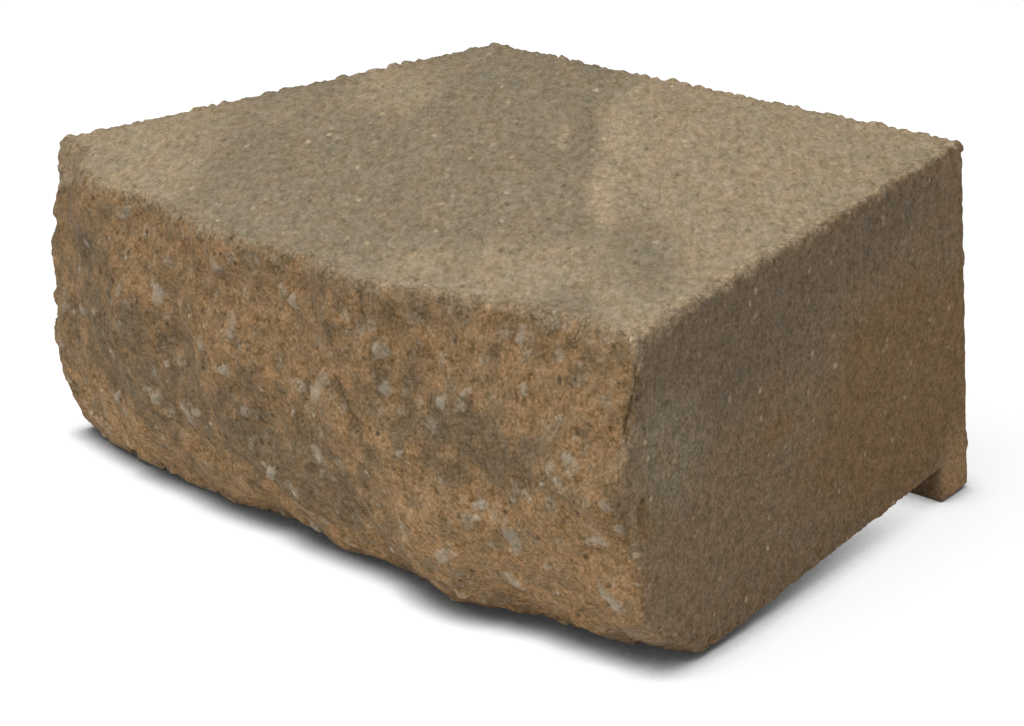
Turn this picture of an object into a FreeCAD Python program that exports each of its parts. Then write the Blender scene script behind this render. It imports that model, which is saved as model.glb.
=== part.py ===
import FreeCAD, Part
import Sketcher
import math
import os

# Retaining wall block, in millimetres.
# One dry-cast concrete unit with tapered sides and a lip under its rear edge. Such blocks are
# moulded face to face with a twin and split apart, so the front is a rough fracture and every
# other side is a plain moulded plane.
# The block is drawn with x across, y rearwards from the split line and z up from the underside.
# It is then laid down as it rests on a level floor, nose down, on its toe and its lip.

SIZES = (
    ("face_width", 298.0, "across the block at the split line"),
    ("back_width", 213.0, "across the rear face"),
    ("body_depth", 190.0, "split line to rear face"),
    ("body_height", 102.0, "underside to top"),
    ("lip_drop", 12.0, "how far the lip hangs below the underside"),
    ("lip_thickness", 18.0, "front to back of the lip"),
    ("arris_radius", 2.0, "rounding of the moulded top and rear edges"),
    ("twin_stub", 25.0, "stock in front of the split line that goes with the twin"),
    ("split_margin", 5.0, "how far the fracture is drawn past the stock"),
    ("relief_step", 1.0, "one step of the face relief"),
    ("ripple_length", 62.0, "length of the longest ripple on the fracture"),
    ("ripple_height", 1.0, "height of the longest ripple above its mean"),
    ("ripple_pitch", 4.0, "spacing of the points that the fracture passes through"),
)

# Set-back of the fracture behind the split line, in relief steps: left to right as seen from the
# front, one row for each level from the top arris down to the toe. The belly stands proud of the
# line, both ends fall back, the toe is broken away and the lower right corner is lost.
FACE_RELIEF = (
    (27, 23, 9, 5, 3, -1, -2, -1, 9, 10, 9),
    (22, 17, 4, 0, -3, -5, -5, -6, 0, 3, 4),
    (19, 14, 2, -3, -5, -6, -8, -9, -6, -5, -5),
    (18, 13, 3, -1, -4, -4, -6, -9, -5, -1, 3),
    (18, 15, 8, 5, 4, 3, 2, -1, 3, 7, 5),
    (31, 25, 17, 17, 21, 20, 20, 15, 27, 34, 84),
)

# The ripples run over the face one after another, each shorter, lower and turned from the last.
RIPPLE_COUNT = 6
RIPPLE_SHRINK = 0.78
RIPPLE_HEADING = math.radians(23)
RIPPLE_TURN = math.radians(137.5)

# Two places closer than this are the same place.
TOUCH = 1e-4
# Points taken along an edge to find how far it reaches.
EDGE_POINTS = 200


def make_sheet(doc):
    """The sheet of driving sizes, one aliased cell for each."""
    sheet = doc.addObject("Spreadsheet::Sheet", "sizes")
    for row, (alias, value, note) in enumerate(SIZES, start=1):
        sheet.set(f"A{row}", alias)
        sheet.set(f"B{row}", str(value))
        sheet.setAlias(f"B{row}", alias)
        sheet.set(f"C{row}", note)
    doc.recompute()
    return sheet


def origin_plane(body, role):
    return next(plane for plane in body.Origin.OriginFeatures if plane.Role == role)


def trapezoid_sketch(body, name, front_y, rear_y, front_width, rear_width):
    """A plan outline, symmetric about x = 0, from four expressions on the sheet."""
    sketch = body.newObject("Sketcher::SketchObject", name)
    sketch.AttachmentSupport = (origin_plane(body, "XY_Plane"), [""])
    sketch.MapMode = "FlatFace"
    # A rough outline of the right shape, which the constraints pull to size.
    corners = [
        FreeCAD.Vector(-2, 1, 0),
        FreeCAD.Vector(2, 1, 0),
        FreeCAD.Vector(1, 3, 0),
        FreeCAD.Vector(-1, 3, 0),
    ]
    for start, end in zip(corners, corners[1:] + corners[:1]):
        sketch.addGeometry(Part.LineSegment(start, end), False)
    front, right, rear, left = range(4)
    for line, following in ((front, right), (right, rear), (rear, left), (left, front)):
        sketch.addConstraint(Sketcher.Constraint("Coincident", line, 2, following, 1))
    y_axis = -2
    origin = (-1, 1)
    for line in (front, rear):
        sketch.addConstraint(Sketcher.Constraint("Symmetric", line, 1, line, 2, y_axis))
    dimensions = (
        ("front_width", ("DistanceX", front, 1, front, 2, 4.0), front_width),
        ("rear_width", ("DistanceX", rear, 2, rear, 1, 2.0), rear_width),
        ("front_y", ("DistanceY", *origin, front, 1, 1.0), front_y),
        ("rear_y", ("DistanceY", *origin, rear, 1, 3.0), rear_y),
    )
    for label, constraint, expression in dimensions:
        index = sketch.addConstraint(Sketcher.Constraint(*constraint))
        sketch.renameConstraint(index, label)
        sketch.setExpression(f"Constraints.{label}", expression)
    return sketch


def moulded_edges(shape, sheet):
    """Names of the top and rear edges, apart from the front one that the split takes away."""
    names = []
    for number, edge in enumerate(shape.Edges, start=1):
        ends = [vertex.Point for vertex in edge.Vertexes]
        on_top = all(abs(end.z - sheet.body_height) < TOUCH for end in ends)
        on_rear = all(abs(end.y - sheet.body_depth) < TOUCH for end in ends)
        at_front = all(end.y < 0 for end in ends)
        upright = abs(ends[0].z - ends[1].z) > sheet.body_height / 2
        if (on_top and not at_front) or (on_rear and upright):
            names.append(f"Edge{number}")
    return names


def moulded_stock(doc, sheet):
    """The block as it leaves the mould: tapered body, rear lip and softened edges."""
    body = doc.addObject("PartDesign::Body", "moulded_stock")
    taper = "(sizes.face_width - sizes.back_width) / sizes.body_depth"

    plan = trapezoid_sketch(
        body, "body_plan",
        front_y="-sizes.twin_stub",
        rear_y="sizes.body_depth",
        front_width=f"sizes.face_width + {taper} * sizes.twin_stub",
        rear_width="sizes.back_width",
    )
    bulk = body.newObject("PartDesign::Pad", "bulk")
    bulk.Profile = plan
    bulk.setExpression("Length", "sizes.body_height")

    lip_plan = trapezoid_sketch(
        body, "lip_plan",
        front_y="sizes.body_depth - sizes.lip_thickness",
        rear_y="sizes.body_depth",
        front_width=f"sizes.back_width + {taper} * sizes.lip_thickness",
        rear_width="sizes.back_width",
    )
    lip = body.newObject("PartDesign::Pad", "lip")
    lip.Profile = lip_plan
    lip.setExpression("Length", "sizes.lip_drop")
    lip.Reversed = True
    lip.Refine = True
    doc.recompute()

    arrises = body.newObject("PartDesign::Fillet", "arrises")
    arrises.Base = (lip, moulded_edges(lip.Shape, sheet))
    arrises.setExpression("Radius", "sizes.arris_radius")
    doc.recompute()
    return body


def ripple(x, z, sheet):
    """Height of the fracture's ripples at a place on the face."""
    length = sheet.ripple_length
    height = sheet.ripple_height
    heading = RIPPLE_HEADING
    total = 0.0
    for _ in range(RIPPLE_COUNT):
        along = x * math.cos(heading) + z * math.sin(heading)
        total += height * math.sin(2 * math.pi * along / length + heading)
        length *= RIPPLE_SHRINK
        height *= RIPPLE_SHRINK
        heading += RIPPLE_TURN
    return total


def smooth_line(places, heights):
    """A curve through heights at given places, with each place as its parameter."""
    points = [FreeCAD.Vector(place, height, 0) for place, height in zip(places, heights)]
    curve = Part.BSplineCurve()
    curve.interpolate(Points=points, Parameters=places)
    return curve


def even_steps(first, last, count):
    return [first + (last - first) * step / (count - 1) for step in range(count)]


def split_waste(sheet):
    """Everything in front of the fracture, as one solid."""
    taper = (sheet.face_width - sheet.back_width) / sheet.body_depth
    half = (sheet.face_width + taper * sheet.twin_stub) / 2 + sheet.split_margin
    bottom = -sheet.split_margin
    top = sheet.body_height + sheet.split_margin

    # The broad form: a line across the face for each row of the relief.
    levels = even_steps(bottom, top, len(FACE_RELIEF))
    stations = even_steps(-half, half, len(FACE_RELIEF[0]))
    rows = []
    for row in reversed(FACE_RELIEF):
        rows.append(smooth_line(stations, [-steps * sheet.relief_step for steps in row]))

    # Lines up the face join the rows, and the ripples are laid over them. Heights are counted
    # forwards of the split line.
    across = even_steps(-half, half, math.ceil(2 * half / sheet.ripple_pitch) + 1)
    upward = even_steps(bottom, top, math.ceil((top - bottom) / sheet.ripple_pitch) + 1)
    heights = []
    for x in across:
        column = smooth_line(levels, [row.value(x).y for row in rows])
        heights.append([column.value(z).y + ripple(x, z, sheet) for z in upward])

    # The surface is drawn lying down, then stood up to face forwards.
    surface = Part.BSplineSurface()
    surface.interpolate(heights, across[0], across[1] - across[0], upward[0], upward[1] - upward[0])
    fracture = surface.toShape()
    fracture.rotate(FreeCAD.Vector(), FreeCAD.Vector(1, 0, 0), 90)
    deepest = -min(min(column) for column in heights)
    reach = deepest + sheet.twin_stub + sheet.split_margin
    return fracture.extrude(FreeCAD.Vector(0, -reach, 0))


def split_block(doc, sheet, stock):
    """The block that is left when the twin is split away."""
    waste = doc.addObject("Part::Feature", "split_waste")
    waste.Shape = split_waste(sheet)
    block = doc.addObject("Part::Cut", "wall_block")
    block.Base = stock
    block.Tool = waste
    block.Refine = True
    doc.recompute()
    return block


def toe_line(shape):
    """How far forward the underside reaches."""
    for face in shape.Faces:
        level = isinstance(face.Surface, Part.Plane) and abs(face.normalAt(0, 0).z + 1) < TOUCH
        if level and abs(face.CenterOfMass.z) < TOUCH:
            points = [point for edge in face.Edges for point in edge.discretize(EDGE_POINTS)]
            return min(point.y for point in points)
    raise RuntimeError("the underside was not found")


def resting_placement(shape, sheet):
    """Nose down on toe and lip, with the middle of the footprint's box at the origin."""
    lip_front = sheet.body_depth - sheet.lip_thickness
    tilt = math.degrees(math.atan2(sheet.lip_drop, lip_front - toe_line(shape)))
    rotation = FreeCAD.Rotation(FreeCAD.Vector(1, 0, 0), tilt)
    turned = shape.copy()
    turned.Placement = FreeCAD.Placement(FreeCAD.Vector(), rotation)
    box = turned.optimalBoundingBox(False, False)
    shift = FreeCAD.Vector(-box.Center.x, -box.Center.y, -box.ZMin)
    return FreeCAD.Placement(shift, rotation)


def check_document(doc, block):
    for item in doc.Objects:
        if "Invalid" in item.State or "Error" in item.State:
            raise RuntimeError(f"{item.Name} failed: {item.State}")
    shape = block.Shape
    if shape.isNull() or not shape.isValid():
        raise RuntimeError(f"{block.Label} has no valid shape")
    if len(shape.Solids) != 1:
        raise RuntimeError(f"{block.Label} is {len(shape.Solids)} solids")


def main():
    doc = FreeCAD.newDocument("retaining_wall_block")
    sheet = make_sheet(doc)
    stock = moulded_stock(doc, sheet)
    block = split_block(doc, sheet, stock)
    check_document(doc, block)
    block.Placement = resting_placement(block.Shape, sheet)
    os.makedirs("parts", exist_ok=True)
    block.Shape.exportStep(f"parts/{block.Label}.step")
    box = block.Shape.BoundBox
    print("volume mm3", round(block.Shape.Volume))
    print("placement", block.Placement)
    print("box mm", box.XMin, box.XMax, box.YMin, box.YMax, box.ZMin, box.ZMax)


main()
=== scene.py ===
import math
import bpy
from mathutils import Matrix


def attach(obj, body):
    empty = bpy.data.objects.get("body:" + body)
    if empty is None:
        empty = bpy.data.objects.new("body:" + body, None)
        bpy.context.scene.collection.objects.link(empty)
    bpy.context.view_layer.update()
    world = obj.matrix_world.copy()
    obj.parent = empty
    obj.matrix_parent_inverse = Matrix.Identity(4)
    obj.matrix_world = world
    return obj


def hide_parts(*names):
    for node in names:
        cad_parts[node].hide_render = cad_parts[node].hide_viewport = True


bl_info = {
    "name": "Retaining Wall Block",
    "version": (1, 0, 0),
    "blender": (4, 5, 0),
    "location": "View3D > Sidebar > Wall Block",
    "description": "Gives a split-face retaining wall block its rough concrete skin and a pale studio",
    "category": "Object",
}

import bmesh
import bpy
from bpy.props import FloatProperty, FloatVectorProperty, IntProperty, PointerProperty
from mathutils import Matrix, Vector, noise
from mathutils.bvhtree import BVHTree
from mathutils.kdtree import KDTree

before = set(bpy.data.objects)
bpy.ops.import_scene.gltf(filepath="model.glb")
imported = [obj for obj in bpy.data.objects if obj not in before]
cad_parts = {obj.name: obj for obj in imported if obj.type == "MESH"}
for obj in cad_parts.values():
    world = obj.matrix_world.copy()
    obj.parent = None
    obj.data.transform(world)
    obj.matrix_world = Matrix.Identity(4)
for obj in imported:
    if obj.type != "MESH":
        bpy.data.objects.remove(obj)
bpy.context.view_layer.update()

MM = 0.001

# The block's own frame inside the row frame: x across, y rearwards from the split line, z up from
# the underside. The block rests nose down, so this frame is tilted about x.
BLOCK_ORIGIN = Vector((-2.153, -87.708, -0.759)) * MM
BLOCK_TILT = math.radians(4.2436)
BLOCK_FRAME = Matrix.Translation(BLOCK_ORIGIN) @ Matrix.Rotation(BLOCK_TILT, 4, "X")
TO_BLOCK = BLOCK_FRAME.inverted()

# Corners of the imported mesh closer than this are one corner.
MERGE_DISTANCE = 1e-6
# A moulded face holds at least one triangle of this area, in square metres.
MOULDED_TRIANGLE = 2e-4
# How far a corner may lie off a moulded plane, and the least cosine between its face and that plane.
PLANE_SLACK = 2e-5
PLANE_TURN = 0.9999
# The split face points forwards by more than this.
SPLIT_FORWARD = -0.15
# Kinds of face that lie on no moulded plane.
SPLIT = -1
ROUNDED = -2
# Spacing of the points that stand for an arris.
ARRIS_STEP = 1 * MM

# Pale stones that stand out on the split face: across, up and radius in the block's frame, mm.
PALE_STONES = (
    (-103, 79, 2.0),
    (-75, 71, 2.4),
    (-54, 73, 3.4),
    (-46, 36, 4.2),
    (-66, 39, 2.4),
    (-17, 59, 2.4),
    (27, 62, 3.8),
    (22, 41, 2.6),
    (3, 23, 3.0),
    (61, 72, 2.6),
    (82, 73, 2.2),
    (106, 94, 2.6),
    (131, 68, 2.4),
    (93, 44, 2.4),
    (61, 30, 3.4),
    (104, 37, 3.4),
    (145, 58, 2.0),
    (138, 45, 2.8),
    (76, 24, 2.8),
    (96, 18, 3.2),
    (137, 26, 3.6),
)
# Creases in the split face: both ends, across and up, mm, and how far the face drops beside the line
# from the first to the second, mm. It drops on the right of that line, or on its left if negative.
CREASES = (
    (Vector((40, 69)), Vector((57, 49)), 2.2),
    (Vector((146, 94)), Vector((147, 77)), -1.6),
)


def block_place(point):
    """A point of the row frame in the block's own frame, in millimetres."""
    return (TO_BLOCK @ point) / MM


def ease(value, low, high):
    """0 at low, 1 at high, eased between; low may be above high."""
    share = min(max((value - low) / (high - low), 0.0), 1.0)
    return share * share * (3 - 2 * share)


class BlockShape(bpy.types.PropertyGroup):
    """Sizes of the rough skin."""

    mesh_size: FloatProperty(
        name="Mesh size", description="Spacing of the skin before it is thinned",
        default=0.7 * MM, min=0.5 * MM, unit="LENGTH", precision=4)
    triangles: IntProperty(
        name="Triangles", description="Most triangles that the skin may keep",
        default=190000, min=20000)
    wave_length: FloatProperty(
        name="Wave length", description="Spacing of the lumps on the split face",
        default=13 * MM, min=MM, unit="LENGTH", precision=4)
    wave_height: FloatProperty(
        name="Wave height", description="Height of the lumps on the split face",
        default=1.3 * MM, unit="LENGTH", precision=4)
    ridge_height: FloatProperty(
        name="Ridge height", description="Height of the sharp ridges between the lumps",
        default=0.5 * MM, unit="LENGTH", precision=4)
    stone_size: FloatProperty(
        name="Stone size", description="Spacing of the stones that the split lays bare",
        default=5 * MM, min=MM, unit="LENGTH", precision=4)
    stone_height: FloatProperty(
        name="Stone height", description="How far a stone stands out, or its socket goes in",
        default=0.8 * MM, unit="LENGTH", precision=4)
    sand_size: FloatProperty(
        name="Sand size", description="Spacing of the sand grains",
        default=2.0 * MM, min=0.2 * MM, unit="LENGTH", precision=4)
    sand_height: FloatProperty(
        name="Sand height", description="Height of the sand grains on the split face",
        default=0.2 * MM, unit="LENGTH", precision=4)
    nodule_size: FloatProperty(
        name="Nodule size", description="Spacing of the nodules along the moulded arrises",
        default=5.5 * MM, min=MM, unit="LENGTH", precision=4)
    nodule_height: FloatProperty(
        name="Nodule height", description="Height of the nodules along the moulded arrises",
        default=1.5 * MM, unit="LENGTH", precision=4)
    arris_band: FloatProperty(
        name="Arris band", description="How far from a moulded arris its nodules reach",
        default=3.0 * MM, min=MM, unit="LENGTH", precision=4)
    worn_radius: FloatProperty(
        name="Worn radius", description="Mean rounding of the split face's outline",
        default=2.6 * MM, min=0.2 * MM, unit="LENGTH", precision=4)
    chip_radius: FloatProperty(
        name="Chip radius", description="How much the rounding of the outline varies",
        default=3.0 * MM, unit="LENGTH", precision=4)
    bite_size: FloatProperty(
        name="Bite size", description="Spacing of the bites along the split face's outline",
        default=6.5 * MM, min=MM, unit="LENGTH", precision=4)
    bite_depth: FloatProperty(
        name="Bite depth", description="Depth of the bites along the toe, where they are deepest",
        default=3.0 * MM, unit="LENGTH", precision=4)


class BlockColours(bpy.types.PropertyGroup):
    """Colours of the concrete."""

    tan: FloatVectorProperty(
        name="Tan", description="Light moulded concrete", subtype="COLOR",
        default=(0.350, 0.269, 0.167), min=0, max=1)
    grey: FloatVectorProperty(
        name="Grey", description="Grey streaks in the moulded concrete", subtype="COLOR",
        default=(0.238, 0.189, 0.122), min=0, max=1)
    umber: FloatVectorProperty(
        name="Umber", description="Brown of the moulded sides", subtype="COLOR",
        default=(0.262, 0.179, 0.105), min=0, max=1)
    slate: FloatVectorProperty(
        name="Slate", description="Dull brown high on the moulded sides", subtype="COLOR",
        default=(0.212, 0.154, 0.098), min=0, max=1)
    ochre: FloatVectorProperty(
        name="Ochre", description="Warm brown of the moulded sides", subtype="COLOR",
        default=(0.262, 0.164, 0.078), min=0, max=1)
    rust: FloatVectorProperty(
        name="Rust", description="Orange brown of the split face", subtype="COLOR",
        default=(0.276, 0.168, 0.079), min=0, max=1)
    dusk: FloatVectorProperty(
        name="Dusk", description="Dark patches of the split face", subtype="COLOR",
        default=(0.150, 0.104, 0.057), min=0, max=1)
    pale: FloatVectorProperty(
        name="Pale stone", description="Stones that the split lays bare", subtype="COLOR",
        default=(0.355, 0.315, 0.240), min=0, max=1)
    # The pit colour is also the painted shade of the split face's hollows.
    pit_and_hollow_shade: FloatVectorProperty(
        name="Pit", description="Pores and deep pits", subtype="COLOR",
        default=(0.075, 0.052, 0.032), min=0, max=1)


class StudioSettings(bpy.types.PropertyGroup):
    """The stage, its light and its camera."""

    floor_colour: FloatVectorProperty(
        name="Floor", description="Colour of the floor", subtype="COLOR",
        default=(0.8, 0.8, 0.8), min=0, max=1)
    floor_width: FloatProperty(
        name="Floor width", description="Width of the floor", default=6.0, unit="LENGTH")
    sky: FloatProperty(
        name="Sky", description="Strength of the even light from all round", default=0.33)
    lamp_power: FloatProperty(
        name="Lamp power", description="Power of the soft lamp", default=19.0, unit="POWER")
    lamp_width: FloatProperty(
        name="Lamp width", description="Width of the soft lamp", default=1.2, unit="LENGTH")
    lamp_place: FloatVectorProperty(
        name="Lamp place", description="Middle of the soft lamp", subtype="XYZ",
        default=(-0.12, -0.75, 1.45), unit="LENGTH")
    low_power: FloatProperty(
        name="Low lamp power", description="Power of the low lamp in front", default=7.5,
        unit="POWER")
    low_place: FloatVectorProperty(
        name="Low lamp place", description="Middle of the low lamp in front", subtype="XYZ",
        default=(0.62, -1.35, 0.14), unit="LENGTH")
    contact: FloatProperty(
        name="Contact shadow", description="How far the shadow at the block's foot reaches",
        default=0.012, unit="LENGTH")
    eye: FloatVectorProperty(
        name="Eye", description="Place of the camera", subtype="XYZ",
        default=(0.66559, -0.60624, 0.33355), unit="LENGTH")
    heading: FloatProperty(
        name="Heading", description="Turn of the camera to the left", subtype="ANGLE",
        default=math.radians(47.64))
    dip: FloatProperty(
        name="Dip", description="How far the camera looks down", subtype="ANGLE",
        default=math.radians(17.98))
    roll: FloatProperty(
        name="Roll", description="Roll of the camera", subtype="ANGLE",
        default=math.radians(-0.96))
    lens: FloatProperty(
        name="Lens", description="Focal length in millimetres on a 36 mm frame", default=104.4)


class CastSurface:
    """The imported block's surface, sorted into moulded faces, split face and the arrises between."""

    def __init__(self, node):
        self.shape = bmesh.new()
        self.shape.from_mesh(node.data)
        bmesh.ops.remove_doubles(self.shape, verts=self.shape.verts, dist=MERGE_DISTANCE)
        self.shape.normal_update()
        kinds = self.face_kinds()
        top = max(
            (face for face in self.shape.faces if kinds[face] >= 0),
            key=lambda face: face.normal.z)
        self.whole = BVHTree.FromBMesh(self.shape)
        self.split = self.tree(lambda face: kinds[face] == SPLIT)
        self.moulded = self.tree(lambda face: kinds[face] != SPLIT)
        self.top = self.tree(lambda face: kinds[face] == kinds[top])
        self.rest = self.tree(lambda face: kinds[face] != kinds[top])
        self.split_arris = self.arris(kinds, lambda pair: SPLIT in pair)
        self.moulded_arris = self.arris(kinds, lambda pair: SPLIT not in pair)

    def face_kinds(self):
        """For each face the number of its moulded plane, or SPLIT, or ROUNDED."""
        planes = []
        kinds = {}
        for face in sorted(self.shape.faces, key=lambda face: face.calc_area(), reverse=True):
            kind = self.plane_of(face, planes)
            if kind is None and face.calc_area() > MOULDED_TRIANGLE:
                kind = len(planes)
                planes.append((face.normal.copy(), face.verts[0].co.copy()))
            if kind is None:
                kind = SPLIT if face.normal.y < SPLIT_FORWARD else ROUNDED
            kinds[face] = kind
        return kinds

    @staticmethod
    def plane_of(face, planes):
        for number, (normal, point) in enumerate(planes):
            level = all(abs(normal.dot(vert.co - point)) < PLANE_SLACK for vert in face.verts)
            if level and normal.dot(face.normal) > PLANE_TURN:
                return number
        return None

    def tree(self, chosen):
        corners = [vert.co for vert in self.shape.verts]
        self.shape.verts.index_update()
        faces = [[vert.index for vert in face.verts] for face in self.shape.faces if chosen(face)]
        return BVHTree.FromPolygons(corners, faces)

    def arris(self, kinds, chosen):
        """Points along the edges where two kinds of face meet."""
        points = []
        for edge in self.shape.edges:
            pair = {kinds[face] for face in edge.link_faces}
            if len(pair) == 2 and chosen(pair):
                start, end = (vert.co for vert in edge.verts)
                count = max(1, math.ceil((end - start).length / ARRIS_STEP))
                points.extend(start.lerp(end, step / count) for step in range(count + 1))
        tree = KDTree(len(points))
        for number, point in enumerate(points):
            tree.insert(point, number)
        tree.balance()
        return tree

    def outline(self, point):
        """How far inside the split face's outline a point lies, which is negative on the moulded
        faces, the nearest point of that outline, and the way both sides of it face."""
        _, split_facing, _, from_split = self.split.find_nearest(point)
        _, moulded_facing, _, from_moulded = self.moulded.find_nearest(point)
        arris = self.split_arris.find(point)[0]
        return from_moulded - from_split, arris, (split_facing, moulded_facing)

    def top_reach(self, point):
        """How far inside the top's outline a point lies; negative on the other faces."""
        return self.rest.find_nearest(point)[3] - self.top.find_nearest(point)[3]


# Stones are never taken to be closer than this share of their spacing.
LEAST_SPACING = 1e-6


def nearest_stone(place, size):
    """Closeness to the nearest stone, 1 at its middle and 0 half way to the next, and its chance."""
    distances, middles = noise.voronoi(place / size)
    closeness = 1 - distances[0] / max(distances[1], LEAST_SPACING)
    chance = noise.cell(middles[0]) % 1.0
    return closeness, chance


# Shares of the split face's stones: pulled out, flush, proud, and pale as well as proud.
SOCKET_CHANCE = 0.25
PROUD_CHANCE = 0.55
PALE_CHANCE = 0.95
# Each placed stone is turned from the last, and this much longer one way than it would be round.
STONE_TURN = 2.4
STONE_LENGTH = 1.3
# How far a pale stone's outline strays, as a share of its radius, and over what length, mm.
STONE_STRAY = 0.35
STRAY_LENGTH = 2.2
# A stone of the even scatter is pale from this closeness on.
PALE_CLOSENESS = 0.25
# How far a pale stone stands out. It rises, and loses its sand, between these depths inside it.
PALE_RISE = 0.3 * MM
PALE_SLOPE = (0.0, 0.4)
PALE_SMOOTH = (0.3, 0.0)
# Stones and nodules are domes with a level top from the first closeness on, grains of sand from the
# second, and bites are bowls with a level bottom from the third.
DOME_EDGE = 0.6
GRAIN_EDGE = 0.7
BOWL_EDGE = 0.5
# The lowest grains of sand are this share of the highest, and their tops are level with the skin.
LOW_GRAIN = 0.4
# Each layer of lumps is finer than the last by this.
LAYER_STEP = 2.0
# Ridges lie this much closer together than the lumps. Their crests are this share of the ridge height.
RIDGE_DENSITY = 1.5
RIDGE_CREST = 0.3

# Beside a crease the face drops within the first distance and is level again at the second, mm.
CREASE_CLIFF = 0.8
CREASE_REACH = 9.0
# Length of the wobbles that take a crease off its straight line, mm.
CREASE_WOBBLE = 5
# Shares of a crease's length between which it comes in and runs out.
CREASE_START = (-0.15, 0.15)
CREASE_END = (1.15, 0.8)

# Length of the chips along the split face's outline, mm, and the share of the mean rounding that is
# always there.
CHIP_LENGTH = 11
LEAST_WEAR = 0.2
# Below this height, mm, the outline is rounded less, down to this share at the toe.
TOE_HEIGHT = 12
TOE_WEAR = 0.6
# No bites lie beyond the first distance from the outline, and full ones within the second. A place
# with less than the first chance has none, and one with more than the second has a full one.
BITE_FADE = (6.0 * MM, 1.0 * MM)
BITE_CHANCE = (0.4, 0.7)
# Bites are full depth below the second height, mm, and this share of it above the first.
BITE_LEVELS = (12, 4)
HIGH_BITE = 0.35

# Height and length, mm, of the unevenness of the moulded faces.
UNEVEN_HEIGHT = 0.15 * MM
UNEVEN_LENGTH = 30
# Height of the top's sand as a share of the split face's.
TOP_SAND = 0.6
# Size of the crumbs on the nodules, mm, and as shares of a nodule's height that of the crumbs and how
# far the arris is lowered under both.
CRUMB_SIZE = 3.2
CRUMB_HEIGHT = 0.6
ARRIS_LOSS = 0.15
# Nodules are full height above the second height, mm, and this share of it below the first.
NODULE_LEVELS = (88, 100)
LOW_NODULE = 0.3

# The skins of two faces run into each other over this distance on both sides of their arris.
SEAM = 1.0 * MM
# Below this height above the floor the skin's relief fades.
FLOOR_FADE = 3.0 * MM


def pale_stone(shape, place):
    """How deep inside a pale stone a place lies, 0 at its outline and 1 at its middle."""
    closeness, chance = nearest_stone(place, shape.stone_size / MM)
    stray = STONE_STRAY * noise.noise(place / STRAY_LENGTH)
    depth = closeness - PALE_CLOSENESS if chance > PALE_CHANCE else -1.0
    for number, (across, up, radius) in enumerate(PALE_STONES):
        offset = Vector((place.x - across, place.z - up))
        if offset.length < 2 * radius:
            offset.rotate(Matrix.Rotation(number * STONE_TURN, 2))
            far = math.hypot(offset.x / STONE_LENGTH, offset.y * STONE_LENGTH)
            depth = max(depth, 1 - far / radius)
    return depth + stray


def crease_height(place):
    """Low cliffs beside the creases, fading away from them, in millimetres."""
    total = 0.0
    for start, end, depth in CREASES:
        run = end - start
        offset = Vector((place.x, place.z)) - start
        along = offset.dot(run) / run.length_squared
        beside = (offset.x * run.y - offset.y * run.x) / run.length
        if depth < 0:
            beside = -beside
        beside += noise.noise(place / CREASE_WOBBLE)
        ends = ease(along, *CREASE_START) * ease(along, *CREASE_END)
        if beside > 0:
            drop = ease(beside, CREASE_REACH, 0.0) * ease(beside, 0.0, CREASE_CLIFF)
            total -= abs(depth) * ends * drop
    return total


def lumps(place, size, fall, layers):
    """Cloudy heights of about -1 to 1: lumps of a size in mm, and layers of finer and lower ones."""
    return noise.fractal(place / size, fall, LAYER_STEP, layers)


def sand_height(shape, place):
    """Height of the sand grains, in metres: round tops and sharp crevices."""
    closeness, chance = nearest_stone(place, shape.sand_size / MM)
    grain = ease(closeness, 0.0, GRAIN_EDGE) * (LOW_GRAIN + (1 - LOW_GRAIN) * chance)
    return shape.sand_height * (grain - LOW_GRAIN)


def split_height(shape, place, pale):
    """Height of the split face's skin, in metres."""
    closeness, chance = nearest_stone(place, shape.stone_size / MM)
    dome = ease(closeness, 0.0, DOME_EDGE)
    stone = 0.0
    if chance < SOCKET_CHANCE:
        stone = -dome * (1 - chance / SOCKET_CHANCE)
    elif chance > PROUD_CHANCE:
        stone = dome * (chance - PROUD_CHANCE) / (1 - PROUD_CHANCE)
    wave_length = shape.wave_length / MM
    wave = lumps(place, wave_length, fall=1.2, layers=4)
    ridge = RIDGE_CREST - abs(noise.noise(RIDGE_DENSITY * (place / wave_length)))
    sand = sand_height(shape, place) * ease(pale, *PALE_SMOOTH)
    return (
        shape.wave_height * wave
        + shape.ridge_height * ridge
        + shape.stone_height * stone
        + sand
        + crease_height(place) * MM
        + PALE_RISE * ease(pale, *PALE_SLOPE)
    )


def worn_radius(shape, place):
    """Rounding of the split face's outline at a place, in metres: chips on a worn edge."""
    chips = lumps(place, CHIP_LENGTH, fall=0.9, layers=3)
    wear = TOE_WEAR + (1 - TOE_WEAR) * ease(place.z, 0, TOE_HEIGHT)
    radius = shape.worn_radius + shape.chip_radius * chips
    return wear * max(LEAST_WEAR * shape.worn_radius, radius)


def rounded(point, normal, arris, facings, radius):
    """A point near an arris and its normal, moved onto a round between the two sides that meet."""
    first, second = facings
    middle = arris - (first + second) * (radius / (1 + first.dot(second)))
    touching = math.sqrt(max((arris - middle).length_squared - radius * radius, 0.0))
    if (point - arris).length > touching:
        return point, normal
    outward = (point - middle).normalized()
    return middle + radius * outward, outward


def bite_depth(shape, place, reach):
    """Depth of the bites out of the split face's outline, in metres; the toe has the deepest."""
    low = HIGH_BITE + (1 - HIGH_BITE) * ease(place.z, *BITE_LEVELS)
    near = ease(abs(reach), *BITE_FADE) * low
    closeness, chance = nearest_stone(place, shape.bite_size / MM)
    return near * shape.bite_depth * ease(closeness, 0.0, BOWL_EDGE) * ease(chance, *BITE_CHANCE)


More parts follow.
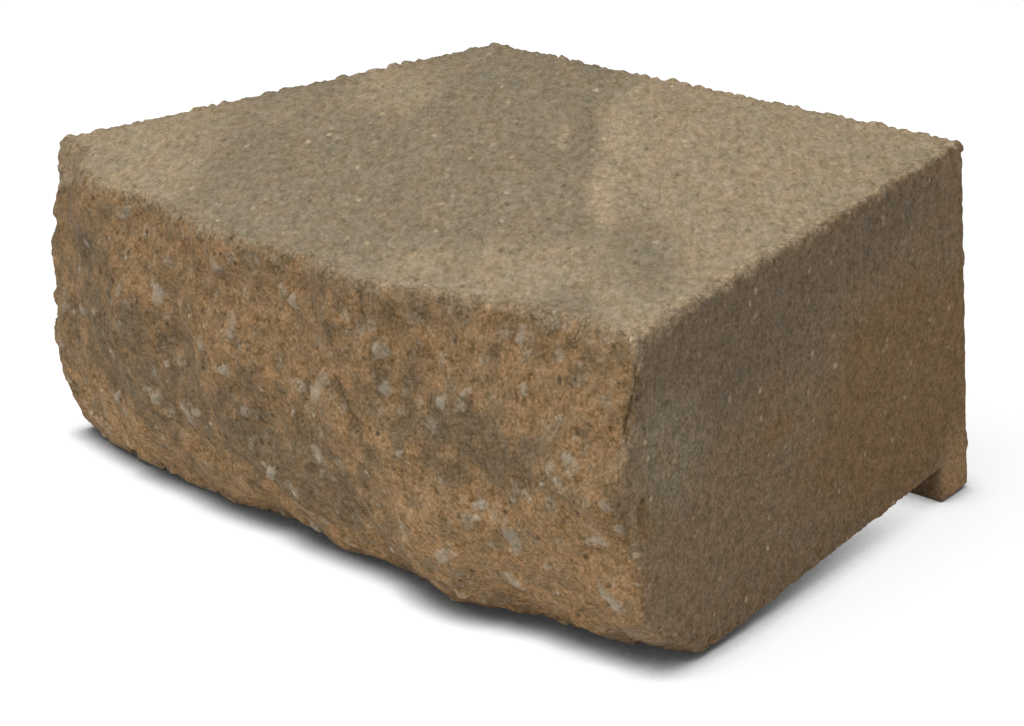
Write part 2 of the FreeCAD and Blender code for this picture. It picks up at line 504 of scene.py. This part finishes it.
def moulded_height(shape, place, top, arris):
    """Height of the moulded skin, in metres, given its share of top and distance to an arris."""
    uneven = UNEVEN_HEIGHT * lumps(place, UNEVEN_LENGTH, fall=1.0, layers=2)
    sand = top * TOP_SAND * sand_height(shape, place)
    closeness, chance = nearest_stone(place, shape.nodule_size / MM)
    dome = ease(closeness, 0.0, DOME_EDGE)
    crumb = max(0.0, lumps(place, CRUMB_SIZE, fall=0.7, layers=3))
    high = LOW_NODULE + (1 - LOW_NODULE) * ease(place.z, *NODULE_LEVELS)
    near = math.exp(-((arris / shape.arris_band) ** 2)) * high
    nodule = near * shape.nodule_height * (dome * chance + CRUMB_HEIGHT * crumb - ARRIS_LOSS)
    return uneven + sand + nodule


def applied(mesh, kind, **settings):
    """A copy of a mesh with one modifier applied."""
    holder = bpy.data.objects.new("holder", mesh)
    bpy.context.scene.collection.objects.link(holder)
    modifier = holder.modifiers.new("step", kind)
    for name, value in settings.items():
        setattr(modifier, name, value)
    graph = bpy.context.evaluated_depsgraph_get()
    made = bpy.data.meshes.new_from_object(holder.evaluated_get(graph))
    bpy.data.objects.remove(holder)
    bpy.data.meshes.remove(mesh)
    return made


def store(mesh, name, values):
    """Keeps one number for each corner of a mesh, for the material to read."""
    mesh.attributes.new(name, "FLOAT", "POINT").data.foreach_set("value", values)


def rough_skin(surface, shape):
    """The cast surface as an even mesh with its fracture, stones, sand and crumbled arrises."""
    mesh = bpy.data.meshes.new("even_skin")
    surface.shape.to_mesh(mesh)
    mesh = applied(mesh, "REMESH", mode="VOXEL", voxel_size=shape.mesh_size)
    pales = []
    heights = []
    reaches = []
    tops = []
    corners = []
    for vertex in mesh.vertices:
        point = vertex.co
        place = block_place(point)
        reach, arris, facings = surface.outline(point)
        base, facing = rounded(point, vertex.normal, arris, facings, worn_radius(shape, place))
        moulded_arris = surface.moulded_arris.find(point)[2]
        top_reach = surface.top_reach(point)
        share = ease(reach, -SEAM, SEAM)
        pale = -1.0
        height = 0.0
        if share > 0:
            pale = pale_stone(shape, place)
            height += share * split_height(shape, place, pale)
        if share < 1:
            top = ease(top_reach, -SEAM, SEAM)
            height += (1 - share) * moulded_height(shape, place, top, moulded_arris)
        height -= bite_depth(shape, place, reach)
        height *= ease(point.z, -FLOOR_FADE, FLOOR_FADE)
        corners.append(base + facing * height)
        pales.append(pale)
        heights.append(height / MM)
        reaches.append(reach / MM)
        tops.append(top_reach / MM)
    for vertex, corner in zip(mesh.vertices, corners):
        vertex.co = corner
        vertex.co.z = max(corner.z, 0.0)
    store(mesh, "pale", pales)
    store(mesh, "height", heights)
    store(mesh, "split_reach", reaches)
    store(mesh, "top_reach", tops)
    triangles = 2 * len(mesh.polygons)
    mesh = applied(mesh, "DECIMATE", ratio=min(1.0, shape.triangles / triangles))
    mesh.shade_smooth()
    return mesh


# The skin laid flat, side by side on one sheet: the way each part faces, the two ways that run
# across and up the sheet, and where its lowest corner goes, in the block's frame and mm.
SHEET_WIDTH = 552
ACROSS = Vector((1, 0, 0))
REARWARDS = Vector((0, 1, 0))
UPWARDS = Vector((0, 0, 1))
BLOCK_LOW = Vector((-152, -14, -15))
FLAT_PARTS = (
    (UPWARDS, ACROSS, REARWARDS, (5, 5)),
    (-UPWARDS, ACROSS, REARWARDS, (5, 217)),
    (-REARWARDS, ACROSS, UPWARDS, (5, 429)),
    (REARWARDS, ACROSS, UPWARDS, (275, 429)),
    (ACROSS, UPWARDS, REARWARDS, (312, 5)),
    (-ACROSS, UPWARDS, REARWARDS, (312, 217)),
)


def lay_flat(mesh, surface):
    """Gives the skin a map with one flat part for each of the six sides."""
    turn = TO_BLOCK.to_3x3()
    places = [block_place(vertex.co) - BLOCK_LOW for vertex in mesh.vertices]
    layer = mesh.uv_layers.new(name="OFBake")
    for polygon in mesh.polygons:
        facing = turn @ surface.whole.find_nearest(polygon.center)[1]
        part = max(FLAT_PARTS, key=lambda part: part[0].dot(facing))
        _, across, up, corner = part
        for loop in polygon.loop_indices:
            place = places[mesh.loops[loop].vertex_index]
            layer.uv[loop].vector = (
                (corner[0] + across.dot(place)) / SHEET_WIDTH,
                (corner[1] + up.dot(place)) / SHEET_WIDTH,
            )


class Value:
    """A shader socket that joins in Python arithmetic, adding a Math node for each step."""

    def __init__(self, finish, socket):
        self.finish = finish
        self.socket = socket

    def math(self, operation, *terms):
        return self.finish.node("ShaderNodeMath", {"operation": operation}, dict(enumerate(terms)))

    def __add__(self, other):
        return self.math("ADD", self, other)

    __radd__ = __add__

    def __sub__(self, other):
        return self.math("SUBTRACT", self, other)

    def __rsub__(self, other):
        return self.math("SUBTRACT", other, self)

    def __mul__(self, other):
        return self.math("MULTIPLY", self, other)

    __rmul__ = __mul__

    def larger(self, other):
        return self.math("MAXIMUM", self, other)

    def output(self, name):
        """Another output of the same node."""
        return Value(self.finish, self.socket.node.outputs[name])


class Finish:
    """Adds nodes to a shader tree."""

    def __init__(self, tree):
        self.tree = tree
        tree.nodes.clear()

    def node(self, kind, settings=None, sockets=None, out=0):
        """Any node: its type, its settings, its sockets' values or links, and the output wanted."""
        made = self.tree.nodes.new(kind)
        for name, value in (settings or {}).items():
            setattr(made, name, value)
        for name, value in (sockets or {}).items():
            if isinstance(value, Value):
                self.tree.links.new(value.socket, made.inputs[name])
            else:
                made.inputs[name].default_value = value
        return Value(self, made.outputs[out]) if len(made.outputs) else None

    def mix(self, share, first, second, blend="MIX"):
        """Two colours mixed; a share of 0 gives the first."""
        colours = [
            value if isinstance(value, Value) else (*value, 1.0) for value in (first, second)]
        return self.node(
            "ShaderNodeMix",
            {"data_type": "RGBA", "blend_type": blend},
            {0: share, 6: colours[0], 7: colours[1]},
            out=2)

    def blend(self, share, first, second):
        """Two places mixed; a share of 0 gives the first."""
        return self.node(
            "ShaderNodeMix", {"data_type": "VECTOR"}, {0: share, 4: first, 5: second}, out=1)

    def vector(self, operation, *terms, out=0):
        return self.node(
            "ShaderNodeVectorMath", {"operation": operation}, dict(enumerate(terms)), out)

    def ease(self, value, low, high):
        """0 at low, 1 at high, eased between."""
        return self.node(
            "ShaderNodeMapRange",
            {"interpolation_type": "SMOOTHSTEP"},
            {"Value": value, "From Min": low, "From Max": high})

    def grain(self, place, size, detail=2.0, rough=0.5, out=0):
        """Cloudy noise about 0.5, or three of them as a colour."""
        return self.node(
            "ShaderNodeTexNoise",
            {},
            {"Vector": place, "Scale": 1 / size, "Detail": detail, "Roughness": rough},
            out)

    def cells(self, place, size):
        """Distance from the middle of the nearest of scattered cells, mm, and two chances of it."""
        distance = self.node(
            "ShaderNodeTexVoronoi", {"feature": "F1"}, {"Vector": place, "Scale": 1 / size})
        chance = self.node("ShaderNodeSeparateColor", {}, {"Color": distance.output("Color")})
        return distance * size, chance, chance.output("Green")

    def shifted(self, place, size, reach, detail=2.0):
        """Places pushed about by up to reach, so that patterns lose their clean outlines."""
        push = self.vector("SUBTRACT", self.grain(place, size, detail, out=1), (0.5, 0.5, 0.5))
        return self.vector("MULTIPLY_ADD", push, (2 * reach,) * 3, place)

    def seated(self, place, middle=(0, 0, 0), turn=0.0, scale=(1, 1, 1)):
        """Places as seen from a middle, turned about the upright and divided by a scale."""
        return self.node(
            "ShaderNodeMapping",
            {"vector_type": "TEXTURE"},
            {"Vector": place, "Location": middle, "Rotation": (0, 0, turn), "Scale": scale})

    def patches(self, place, eggs, soft=0.5):
        """1 inside eggs, each given by its middle and radii, fading to 0 outside them."""
        total = None
        for middle, radii in eggs:
            far = self.vector("LENGTH", self.seated(place, middle, scale=radii), out="Value")
            one = self.ease(far, 1.0 + soft / 2, 1.0 - soft / 2)
            total = one if total is None else total.larger(one)
        return total

    def painted_light_by_height(self, place, low, high):
        """A strength that changes evenly with height between two levels, for painted light and shade.
        """
        up = self.node("ShaderNodeSeparateXYZ", {}, {0: place}, out="Z")
        return self.node(
            "ShaderNodeMapRange",
            {},
            {"Value": up, "From Min": low[0], "From Max": high[0],
             "To Min": low[1], "To Max": high[1]})

    def stored(self, name):
        """A number kept on the mesh."""
        return self.node("ShaderNodeAttribute", {"attribute_name": name}, out="Fac")


def tinted(colour, strength):
    """A colour made lighter or darker."""
    return [strength * part for part in colour]


# Colour streaks run slantwise over the top. Squared up by this turn, they run along y.
STREAK_TURN = math.radians(45)
# The sand of the top is drawn out this much along the streaks, this far inside its outline, mm.
DRAG = 2.2
DRAG_START = (2.5, 2.6)
# Slanting drifts of colour for each mm across the streaks, along them and up.
DRIFT_DENSITY = (0.09, 0.02, 0.05)
# Where the grey of the top comes in on its left and runs out on its right, mm. Between the first two
# places along the streaks the right limit moves out by the third length.
GREY_FADE = (-44, -20)
GREY_LIMIT = (101, 94)
GREY_SLANT = (105, 150, 12)
# Broad patches have outlines frayed over this length by up to this distance, mm, and the streaks of
# the top take this share of it.
FRAY_SIZE = 24
FRAY_REACH = 8
STREAK_FRAY = 0.25
# Small stones are pushed out of round over this length by up to this distance, mm.
JUMBLE_SIZE = 2.0
JUMBLE_REACH = 0.5

# Patches of colour on the top, squared up: middle and radii in the block's frame, mm.
TAN_TOP = (
    ((27, 158, 102), (15, 32, 40)),
    ((72, -40, 102), (42, 26, 40)),
)
GREY_TOP = (
    ((111, -34, 102), (11, 34, 40)),
)
STREAKS_TOP = (
    ((105, 86, 102), (6, 28, 40)),
    ((99, 28, 102), (4.5, 28, 40)),
    ((86, 90, 102), (1.6, 17, 40)),
)

# The colour of the top fades into that of the sides between these distances inside its outline, mm,
# frayed by clumps. Going forwards, the fade widens by the second pair between two places, mm.
EDGE_FADE = (-2.5, 0.0)
FRONT_FADE = (-5.0, 3.0)
FRONT_START = (70, 0)
EDGE_FRAY = 5
# The split face's colour fades in between these distances inside its outline, mm, frayed by clumps.
SPLIT_FADE = (-2.2, 2.2)
SPLIT_FRAY = 20
# Sizes of the noises that the finishes share, mm: broad clouds, clumps, coarse and fine sand, grains
# with dark gaps, and small stones.
CLOUD_SIZE = 26
CLUMP_SIZE = 6.0
COARSE_SIZE = 3.0
FINE_SIZE = 0.9
GRAIN_SIZE = 1.0
PEBBLE_SIZE = 3.2
# Stones that show faintly on the split face, mm.
FAINT_SIZE = 5.0
FAINT_RADII = (2.8, 1.4)
FAINT_CHANCE = (0.66, 0.72)
# Spots on some of the small stones: the radii between which they fade, mm, and the chances.
TAN_FLECKS = ((1.3, 0.5), (0.82, 0.88))
PORES = ((1.1, 0.4), (0.3, 0.18))
PALE_FLECKS = ((1.3, 0.5), (0.82, 0.9))
PITS = ((1.3, 0.5), (0.34, 0.24))
# Painted shade: the split face's colour darkens in its hollows between these heights, mm.
HOLLOW_SHADE = (-0.4, -2.2)
# Tints of neighbouring clumps.
WARM_TINT = (1.04, 1.0, 0.955)
COOL_TINT = (0.96, 1.0, 1.045)
# Painted shade and light: the split face is darker near its top arris and lighter at its foot, where
# light from the floor falls: height and strength at each, mm.
PAINTED_SHADE_HIGH = (94, 0.82)
PAINTED_LIGHT_LOW = (8, 1.24)

# Patches of colour elsewhere: middle and radii in the block's frame, mm.
DUSK_SPLIT = (
    ((-80, 0, 46), (46, 40, 20)),
    ((4, 0, 34), (38, 40, 16)),
    ((90, 0, 62), (26, 40, 11)),
    ((-104, 0, 78), (14, 40, 10)),
)
RUST_SPLIT = (
    ((-50, 0, 90), (66, 40, 10)),
    ((6, 0, 74), (36, 40, 13)),
    ((-96, 0, 18), (30, 40, 10)),
    ((100, 0, 34), (46, 40, 22)),
    ((112, 0, 84), (34, 40, 12)),
)
# Under the top arris the split face is worn to the colour of the top between these distances inside
# the top's outline, mm, frayed by clumps, and further down, by this depth, at its upper left corner.
WORN_FADE = (-6.0, 1.0)
WORN_FRAY = 16
WORN_DEPTH = 14
WORN_CORNER = (
    ((-142, 20, 94), (16, 40, 12)),
)
# Where the side's own brown reaches round onto the split face, and how far, mm.
BROWN_DEPTH = 30
BROWN_CORNER = (
    ((146, 28, 5), (26, 38, 17)),
)
# Where the split face's rust reaches round onto the side, and how far, mm.
RUST_DEPTH = 12
RUST_CORNER = (
    ((144, 9, 50), (20, 5, 8)),
    ((-136, 16, 92), (16, 12, 20)),
)
SLATE_SIDE = (
    ((130, 50, 84), (60, 60, 22)),
    ((120, 128, 90), (60, 44, 10)),
)
GREY_SIDE = (
    ((140, 20, 66), (30, 18, 18)),
)
# Painted light on the lip's side, standing in for light from the floor: middle and radii in the
# block's frame, mm.
LIP_PAINTED_LIGHT = (
    ((116, 182, -4), (13, 15, 14)),
)
OCHRE_SIDE = (
    ((110, 150, 34), (60, 52, 34)),
    ((110, 184, 36), (60, 16, 26)),
    ((132, 76, 50), (20, 7, 3)),
)


class Grit:
    """Places and noises that the finishes of the block share."""

    def __init__(self, finish):
        self.place = finish.node(
            "ShaderNodeMapping",
            {"vector_type": "TEXTURE"},
            {"Vector": finish.node("ShaderNodeTexCoord", out="Object"), "Location": BLOCK_ORIGIN,
             "Rotation": (BLOCK_TILT, 0, 0), "Scale": (MM, MM, MM)})
        self.split_reach = finish.stored("split_reach")
        self.top_reach = finish.stored("top_reach")
        self.pale = finish.stored("pale")

        # Places for broad patches, with frayed outlines, and for the streaks of the top.
        self.loose = finish.shifted(self.place, FRAY_SIZE, FRAY_REACH, detail=2)
        self.streaked = finish.seated(
            finish.blend(STREAK_FRAY, self.place, self.loose), turn=STREAK_TURN)

        # Clouds, clumps and sand, all drawn out along the streaks on the top.
        self.top = finish.ease(self.top_reach, *DRAG_START)
        dragged = finish.seated(self.place, turn=STREAK_TURN, scale=(1, DRAG, 1))
        sand = finish.blend(self.top, self.place, dragged)
        self.cloud = finish.grain(sand, CLOUD_SIZE, detail=3, rough=0.55)
        clumps = finish.grain(sand, CLUMP_SIZE, detail=1.5, out=1)
        self.clump = finish.node("ShaderNodeSeparateColor", {}, {0: clumps})
        self.tone = self.clump.output("Green")
        self.depth = self.clump.output("Blue")
        self.coarse = finish.grain(sand, COARSE_SIZE, detail=2, rough=0.6)
        self.fine = finish.grain(sand, FINE_SIZE, detail=2, rough=0.6)
        self.crevice, _, self.light = finish.cells(sand, GRAIN_SIZE)

        # Small stones and pits: distance from the middle of the nearest, its chance and strength.
        self.jumbled = finish.shifted(sand, JUMBLE_SIZE, JUMBLE_REACH, detail=1)
        self.pebble, self.chance, self.strength = finish.cells(self.jumbled, PEBBLE_SIZE)

    def spots(self, finish, radii, chances):
        """Spots of varied strength on some of the small stones."""
        return finish.ease(self.pebble, *radii) * finish.ease(self.chance, *chances) * self.strength


def top_colour(finish, colours, grit):
    """Tan with a broad grey band, bright streaks along its edge and slanting drifts."""
    ways = finish.node("ShaderNodeSeparateXYZ", {}, {0: grit.streaked})
    across, along = ways, ways.output("Y")
    drawn = finish.vector("MULTIPLY", grit.streaked, DRIFT_DENSITY)
    drift = finish.grain(drawn, 1.0, detail=3)
    slant_start, slant_end, slant = GREY_SLANT
    beyond = across - slant * finish.ease(along, slant_start, slant_end)
    grey = finish.ease(beyond, *GREY_LIMIT) * finish.ease(across, *GREY_FADE)
    grey = grey * (1 - 0.9 * finish.patches(grit.streaked, TAN_TOP, soft=0.9))
    grey = grey.larger(finish.patches(grit.streaked, GREY_TOP, soft=1.2))
    grey = grey * 0.7 + 1.1 * (drift - 0.5) + 0.5 * (grit.cloud - 0.5)
    colour = finish.mix(finish.ease(grey, -0.25, 1.0), colours.tan, colours.grey)
    streak = finish.patches(grit.streaked, STREAKS_TOP, soft=0.9)
    return finish.mix(streak * 0.8, colour, tinted(colours.tan, 1.12))


def side_colour(finish, colours, grit):
    """Brown sides, warm low at the rear, dull high up and greyer near the fracture, with painted light
    on the lip's side.
    """
    warm = 0.7 * finish.patches(grit.loose, OCHRE_SIDE, soft=0.9) + grit.cloud
    colour = finish.mix(finish.ease(warm, 0.4, 1.1), colours.umber, colours.ochre)
    dull = finish.patches(grit.loose, SLATE_SIDE, soft=0.9)
    colour = finish.mix(dull * 0.9, colour, colours.slate)
    ashen = finish.patches(grit.loose, GREY_SIDE, soft=0.9)
    colour = finish.mix(ashen * 0.7, colour, tinted(colours.grey, 1.2))
    # Painted light on the lip's side.
    lip_light = finish.patches(grit.loose, LIP_PAINTED_LIGHT, soft=0.9)
    return finish.mix(lip_light, colour, tinted(colours.ochre, 1.7))


def moulded_colour(finish, colours, grit):
    """The moulded faces, with pale grains and pores."""
    edge = grit.top_reach + EDGE_FRAY * (grit.clump - 0.5) + (grit.fine - 0.5)
    rearwards = finish.node("ShaderNodeSeparateXYZ", {}, {0: grit.place}, out="Y")
    frontal = finish.ease(rearwards, *FRONT_START)
    fade = [front * frontal + rear for front, rear in zip(FRONT_FADE, EDGE_FADE)]
    colour = finish.mix(
        finish.ease(edge, *fade),
        side_colour(finish, colours, grit),
        top_colour(finish, colours, grit))
    flecks = grit.spots(finish, *TAN_FLECKS)
    colour = finish.mix(flecks * 0.8, colour, tinted(colours.tan, 1.55))
    pores = grit.spots(finish, *PORES)
    return finish.mix(pores * 0.6, colour, colours.pit_and_hollow_shade)


def split_colour(finish, colours, grit):
    """Orange brown and dark grains in drifts, with pale stones, pits, painted shade in the hollows,
    and painted shade high up with painted light at the foot.
    """
    rust = finish.patches(grit.loose, RUST_SPLIT, soft=1.0)
    dusk = finish.patches(grit.loose, DUSK_SPLIT, soft=1.0)
    share = 0.12 + 0.7 * grit.cloud + 1.4 * (grit.clump - 0.5) + 0.3 * dusk - 0.18 * rust
    colour = finish.mix(finish.ease(share, 0.2, 0.85), colours.rust, colours.dusk)
    faint, chance, strength = finish.cells(grit.jumbled, FAINT_SIZE)
    faint = finish.ease(faint, *FAINT_RADII) * finish.ease(chance, *FAINT_CHANCE)
    colour = finish.mix(faint * strength * 0.35, colour, colours.pale)
    flecks = grit.spots(finish, *PALE_FLECKS)
    colour = finish.mix(flecks * 0.6, colour, tinted(colours.pale, 1.1))
    pits = grit.spots(finish, *PITS)
    colour = finish.mix(pits * 0.9, colour, colours.pit_and_hollow_shade)
    pale = grit.pale + 0.8 * (grit.clump - 0.5) + 0.8 * (grit.coarse - 0.5)
    colour = finish.mix(finish.ease(pale, -0.2, 0.5) * 0.55, colour, colours.pale)
    # Painted shade in the split face's hollows.
    hollow_shade = finish.ease(finish.stored("height"), *HOLLOW_SHADE)
    colour = finish.mix(hollow_shade * 0.4, colour, colours.pit_and_hollow_shade)
    # Painted shade near the top arris and painted light at the foot.
    colour = finish.mix(1.0, colour, finish.painted_light_by_height(grit.place, PAINTED_LIGHT_LOW, PAINTED_SHADE_HIGH), "MULTIPLY")
    corner = finish.patches(grit.loose, WORN_CORNER, soft=0.9)
    worn = grit.top_reach + WORN_FRAY * (grit.clump - 0.5) + WORN_DEPTH * corner
    return finish.mix(finish.ease(worn, *WORN_FADE) * 0.5, colour, tinted(colours.tan, 0.9))


def concrete(colours):
    """Dry-cast concrete: split face and moulded faces in one material."""
    material = bpy.data.materials.new("concrete")
    material.use_nodes = True
    finish = Finish(material.node_tree)
    grit = Grit(finish)

    brown = finish.patches(grit.loose, BROWN_CORNER, soft=0.6)
    rust = finish.patches(grit.loose, RUST_CORNER, soft=0.6)
    ragged = grit.split_reach - BROWN_DEPTH * brown + RUST_DEPTH * rust
    split = finish.ease(ragged + SPLIT_FRAY * (grit.clump - 0.5), *SPLIT_FADE)
    colour = finish.mix(
        split,
        moulded_colour(finish, colours, grit),
        split_colour(finish, colours, grit))

    # Light grains, and painted shade in the gaps between them, where the bump sinks crevices; the gaps
    # are browner.
    sides = 1 - grit.top
    gap_shade = (0.45 * sides - 0.1 * split) * (grit.crevice - 0.45)
    grains = (0.34 + 0.12 * split) * (grit.light - 0.5)
    fine = (0.5 + 0.5 * sides + 0.25 * split) * (grit.fine - 0.5)
    coarse = (1 + 0.25 * split) * (grit.coarse - 0.5)
    clumps = 0.55 * split * (grit.depth - 0.5)
    calm = 1 - 0.4 * finish.ease(grit.pale, 0.0, 0.3)
    light = 1 + calm * (grains + (fine + coarse) - gap_shade + clumps)
    speckle = finish.node("ShaderNodeCombineColor", {}, {0: light, 1: light, 2: 1.2 * light - 0.2})
    colour = finish.mix(1.0, colour, speckle, "MULTIPLY")
    tint = finish.mix(finish.ease(grit.tone, 0.25, 0.75), WARM_TINT, COOL_TINT)
    colour = finish.mix(1.0, colour, tint, "MULTIPLY")

    height = 0.8 * grit.fine + (0.8 + split) * grit.coarse - 0.5 * grit.crevice
    bump = finish.node(
        "ShaderNodeBump", {}, {"Strength": 0.7, "Distance": 0.45 * MM, "Height": height},
        out="Normal")
    shader = finish.node(
        "ShaderNodeBsdfPrincipled",
        {},
        {"Base Color": colour, "Roughness": 0.82 + 0.25 * grit.fine, "Normal": bump,
         "Specular IOR Level": 0.25})
    finish.node("ShaderNodeOutputMaterial", {}, {"Surface": shader})
    return material


def seen_directly(finish):
    """1 for rays from the camera, mirrors and glass, 0 for those that only carry light."""
    path = finish.node("ShaderNodeLightPath", out="Is Camera Ray")
    return path.larger(path.output("Is Glossy Ray")).larger(path.output("Is Transmission Ray"))


# The contact shadow fades between these shares of open sky, and leaves this share of light.
OPEN_SKY = (0.26, 0.9)
SHADOW_LIGHT = 0.04
# How much of the floor's white, as the camera sees it, is lit and how much glows by itself.
FLOOR_LIT = 0.35
FLOOR_GLOW = 0.8


def studio_floor(settings):
    """A pale floor that the camera sees as white, dark where the block stands close over it."""
    material = bpy.data.materials.new("studio_floor")
    material.use_nodes = True
    finish = Finish(material.node_tree)
    sky = finish.node(
        "ShaderNodeAmbientOcclusion", {"samples": 4}, {"Distance": settings.contact}, out="AO")
    clear = SHADOW_LIGHT + (1 - SHADOW_LIGHT) * finish.ease(sky, *OPEN_SKY)
    matte = finish.node("ShaderNodeBsdfDiffuse", {}, {"Color": (*settings.floor_colour, 1)})
    white = finish.node("ShaderNodeBsdfDiffuse", {}, {"Color": clear * FLOOR_LIT})
    glow = finish.node("ShaderNodeEmission", {}, {"Color": clear, "Strength": FLOOR_GLOW})
    bright = finish.node("ShaderNodeAddShader", {}, {0: white, 1: glow})
    shader = finish.node(
        "ShaderNodeMixShader", {}, {0: seen_directly(finish), 1: matte, 2: bright})
    finish.node("ShaderNodeOutputMaterial", {}, {"Surface": shader})
    return material


class WALLBLOCK_OT_make_block(bpy.types.Operator):
    """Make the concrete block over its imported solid"""

    bl_idname = "wall_block.make_block"
    bl_label = "Make Block"

    def execute(self, context):
        surface = CastSurface(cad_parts["wall_block"])
        mesh = rough_skin(surface, context.scene.wall_block_shape)
        lay_flat(mesh, surface)
        mesh.name = "split_face_block"
        mesh.materials.append(concrete(context.scene.wall_block_colours))
        block = bpy.data.objects.new("split_face_block", mesh)
        context.scene.collection.objects.link(block)
        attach(block, "root")
        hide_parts("wall_block")
        return {"FINISHED"}


class WALLBLOCK_OT_make_studio(bpy.types.Operator):
    """Make the floor, the light and the camera"""

    bl_idname = "wall_block.make_studio"
    bl_label = "Make Studio"

    def execute(self, context):
        settings = context.scene.wall_block_studio
        self.make_floor(context, settings)
        self.make_light(context, settings)
        self.make_camera(context, settings)
        context.scene.view_settings.view_transform = "Standard"
        return {"FINISHED"}

    @staticmethod
    def make_floor(context, settings):
        shape = bmesh.new()
        bmesh.ops.create_grid(shape, x_segments=1, y_segments=1, size=settings.floor_width / 2)
        mesh = bpy.data.meshes.new("studio_floor")
        shape.to_mesh(mesh)
        shape.free()
        mesh.materials.append(studio_floor(settings))
        floor = bpy.data.objects.new("studio_floor", mesh)
        context.scene.collection.objects.link(floor)

    @staticmethod
    def make_light(context, settings):
        for name, power, place in (
            ("soft_lamp", settings.lamp_power, settings.lamp_place),
            ("low_lamp", settings.low_power, settings.low_place),
        ):
            lamp = bpy.data.lights.new(name, "AREA")
            lamp.energy = power
            lamp.size = settings.lamp_width
            holder = bpy.data.objects.new(name, lamp)
            holder.location = place
            holder.rotation_euler = (-Vector(place)).to_track_quat("-Z", "Y").to_euler()
            context.scene.collection.objects.link(holder)

        world = bpy.data.worlds.new("studio_sky")
        world.use_nodes = True
        context.scene.world = world
        finish = Finish(world.node_tree)
        level = settings.sky + (1 - settings.sky) * seen_directly(finish)
        sky = finish.node("ShaderNodeBackground", {}, {"Color": level, "Strength": 1.0})
        finish.node("ShaderNodeOutputWorld", {}, {"Surface": sky})

    @staticmethod
    def make_camera(context, settings):
        lens = bpy.data.cameras.new("photo_camera")
        lens.lens = settings.lens
        lens.sensor_fit = "HORIZONTAL"
        camera = bpy.data.objects.new("photo_camera", lens)
        camera.matrix_world = (
            Matrix.Translation(settings.eye)
            @ Matrix.Rotation(settings.heading, 4, "Z")
            @ Matrix.Rotation(math.pi / 2 - settings.dip, 4, "X")
            @ Matrix.Rotation(settings.roll, 4, "Z")
        )
        context.scene.collection.objects.link(camera)
        context.scene.camera = camera


class WALLBLOCK_PT_panel(bpy.types.Panel):
    """Lists the block's settings and its makers"""

    bl_idname = "WALLBLOCK_PT_panel"
    bl_label = "Retaining Wall Block"
    bl_space_type = "VIEW_3D"
    bl_region_type = "UI"
    bl_category = "Wall Block"

    def draw(self, context):
        column = self.layout.column()
        for settings, maker in (
            (context.scene.wall_block_shape, None),
            (context.scene.wall_block_colours, WALLBLOCK_OT_make_block.bl_idname),
            (context.scene.wall_block_studio, WALLBLOCK_OT_make_studio.bl_idname),
        ):
            for name in settings.__annotations__:
                column.prop(settings, name)
            if maker:
                column.operator(maker)


CLASSES = (
    BlockShape,
    BlockColours,
    StudioSettings,
    WALLBLOCK_OT_make_block,
    WALLBLOCK_OT_make_studio,
    WALLBLOCK_PT_panel,
)


def register():
    for item in CLASSES:
        bpy.utils.register_class(item)
    bpy.types.Scene.wall_block_shape = PointerProperty(type=BlockShape)
    bpy.types.Scene.wall_block_colours = PointerProperty(type=BlockColours)
    bpy.types.Scene.wall_block_studio = PointerProperty(type=StudioSettings)


def unregister():
    del bpy.types.Scene.wall_block_studio
    del bpy.types.Scene.wall_block_colours
    del bpy.types.Scene.wall_block_shape
    for item in reversed(CLASSES):
        bpy.utils.unregister_class(item)


def main():
    register()
    bpy.ops.wall_block.make_block()
    bpy.ops.wall_block.make_studio()


if __name__ == "__main__":
    main()
